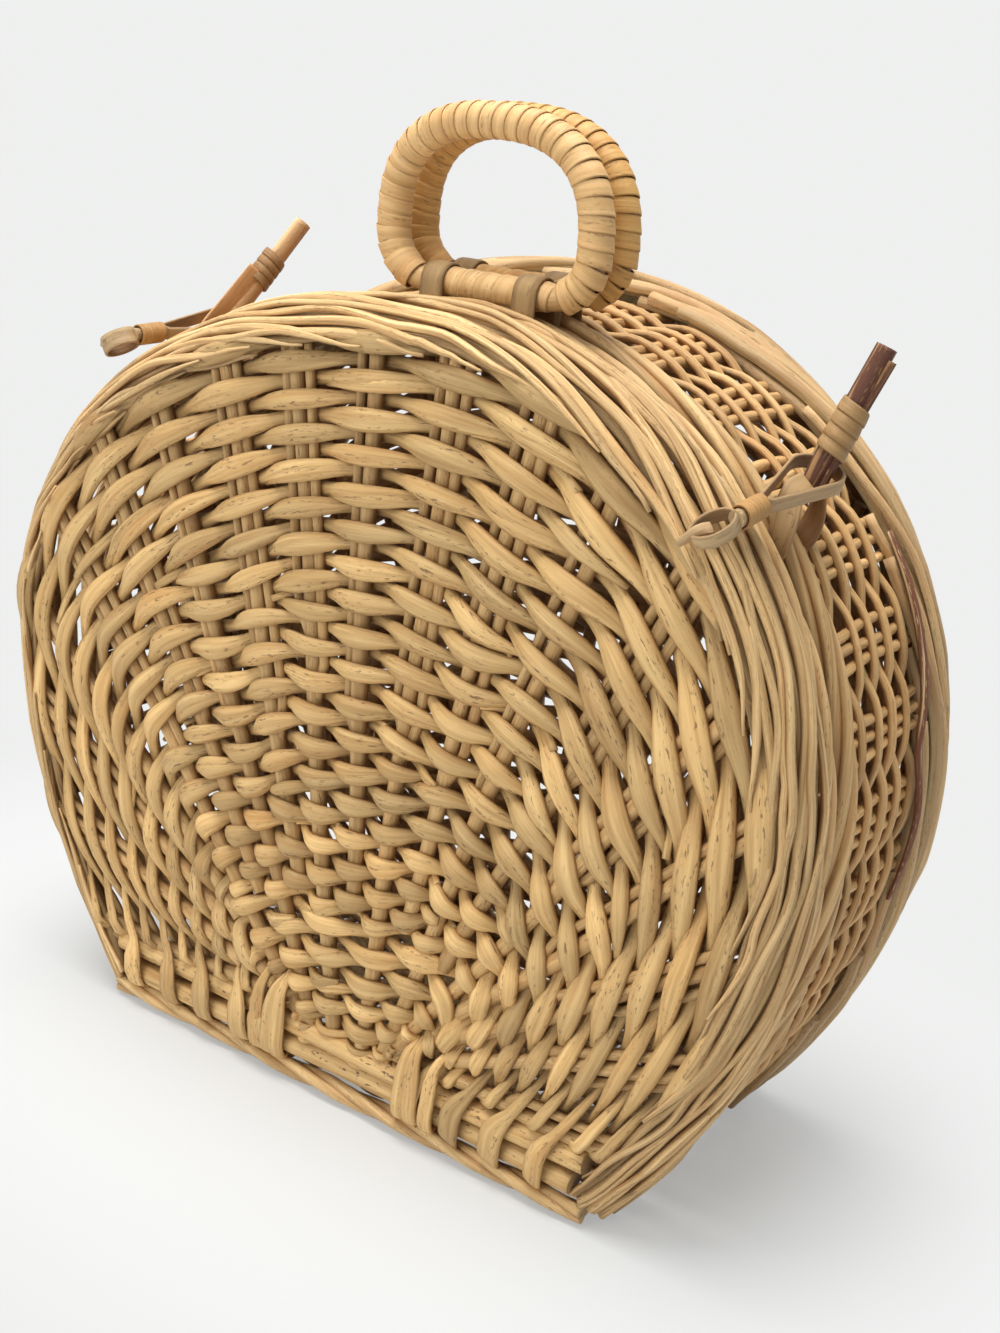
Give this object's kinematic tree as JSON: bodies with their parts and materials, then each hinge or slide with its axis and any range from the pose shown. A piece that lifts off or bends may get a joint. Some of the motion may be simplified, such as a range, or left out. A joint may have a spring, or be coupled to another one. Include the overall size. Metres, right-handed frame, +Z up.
{
  "type": "wicker storage basket",
  "caption": "Woven willow basket shaped like an upright clam shell on a flat base, with a hinged front lid, ring handles and stick-and-loop closures.",
  "frame": {"origin": "middle of the flat base the basket stands on, centred on its bounding box", "axes": "+X to the right along the bottom edge, +Y from the woven face to the back, +Z up"},
  "size_m": [0.336, 0.117, 0.3397],
  "materials": {
    "face_willow": "satin, natural willow",
    "back_willow": "satin, natural willow",
    "stake_willow": "satin, natural willow",
    "lid_wale": "satin, natural willow",
    "back_wale": "satin, natural willow",
    "side_willow": "satin, natural willow",
    "rim_willow": "satin, natural willow",
    "front_cane": "satin, split cane",
    "rear_cane": "satin, split cane",
    "tie_bark": "satin, natural willow",
    "hinge_cane": "satin, split cane",
    "toggle_bark": "satin, natural willow",
    "toggle_peeled": "satin, natural willow",
    "binding_cane": "satin, split cane",
    "binding_brown": "satin, natural willow",
    "hasp_strip": "satin, natural willow"
  },
  "bodies": {
    "basket_body": {"body_panel_weave": "back_willow", "body_fan_stake_1": "stake_willow", "body_fan_stake_2": "stake_willow", "body_fan_stake_3": "stake_willow", "body_fan_stake_4": "stake_willow", "body_fan_stake_5": "stake_willow", "body_fan_stake_6": "stake_willow", "body_fan_stake_7": "stake_willow", "body_fan_stake_8": "stake_willow", "body_fan_stake_9": "stake_willow", "body_base_stick_1": "back_willow", "body_base_stick_2": "back_willow", "body_bottom_edge": "rim_willow", "body_floor_rod": "rim_willow", "body_rim_border": "rim_willow", "body_handle_tie_left": "tie_bark", "body_handle_tie_right": "tie_bark", "body_edge_wale": "back_wale", "body_floor_weave": "side_willow", "body_side_weave": "side_willow", "hinge_loop_left": "hinge_cane", "hinge_loop_middle": "hinge_cane", "hinge_loop_right": "hinge_cane"},
    "lid": {"lid_panel_weave": "face_willow", "lid_fan_stake_1": "stake_willow", "lid_fan_stake_2": "stake_willow", "lid_fan_stake_3": "stake_willow", "lid_fan_stake_4": "stake_willow", "lid_fan_stake_5": "stake_willow", "lid_fan_stake_6": "stake_willow", "lid_fan_stake_7": "stake_willow", "lid_fan_stake_8": "stake_willow", "lid_fan_stake_9": "stake_willow", "lid_base_stick_1": "face_willow", "lid_base_stick_2": "face_willow", "lid_bottom_edge": "rim_willow", "lid_floor_rod": "rim_willow", "lid_rim_border": "rim_willow", "lid_handle_tie_left": "tie_bark", "lid_handle_tie_right": "tie_bark", "lid_edge_wale": "lid_wale", "lid_floor_weave": "side_willow"},
    "front_handle": {"front_handle_core": "front_cane", "front_handle_wrap": "front_cane"},
    "rear_handle": {"rear_handle_core": "rear_cane", "rear_handle_wrap": "rear_cane"},
    "left_toggle": {"left_toggle_stick": "toggle_peeled", "left_toggle_binding": "binding_brown"},
    "left_hasp": {"left_hasp_eye": "hasp_strip", "left_hasp_binding": "binding_cane", "left_hasp_loop": "hasp_strip"},
    "right_toggle": {"right_toggle_stick": "toggle_bark", "right_toggle_binding": "binding_cane"},
    "right_hasp": {"right_hasp_eye": "hasp_strip", "right_hasp_binding": "binding_cane", "right_hasp_loop": "hasp_strip"}
  },
  "joints": [
    {"name": "lid_hinge", "type": "hinge", "parent": "basket_body", "child": "lid", "pos_m": [0, -0.033, 0.0066], "axis": [1, 0, 0], "range_deg": [0, 100], "deforming": ["left_hasp_loop", "right_hasp_loop"]},
    {"name": "front_handle_swing", "type": "hinge", "parent": "lid", "child": "front_handle", "pos_m": [0.032, -0.033, 0.2864], "axis": [1, 0, 0], "range_deg": [0, 65]},
    {"name": "rear_handle_swing", "type": "hinge", "parent": "basket_body", "child": "rear_handle", "pos_m": [0.032, -0.019, 0.2864], "axis": [-1, 0, 0], "range_deg": [0, 65]},
    {"name": "right_toggle_swing", "type": "hinge", "parent": "basket_body", "child": "right_toggle", "pos_m": [0.12993, -0.019, 0.228], "axis": [-0.6279, 0, 0.7783], "range_deg": [-12, 2]},
    {"name": "left_toggle_swing", "type": "hinge", "parent": "basket_body", "child": "left_toggle", "pos_m": [-0.11186, -0.019, 0.2324], "axis": [-0.7913, 0, -0.6115], "range_deg": [-15, 3]},
    {"name": "right_hasp_swing", "type": "hinge", "parent": "lid", "child": "right_hasp", "pos_m": [0.12453, -0.0545, 0.23327], "axis": [0.6279, 0, -0.7783], "range_deg": [0, 30]},
    {"name": "left_hasp_swing", "type": "hinge", "parent": "lid", "child": "left_hasp", "pos_m": [-0.09841, -0.047, 0.24444], "axis": [0.7913, 0, 0.6115], "range_deg": [0, 75]}
  ]
}
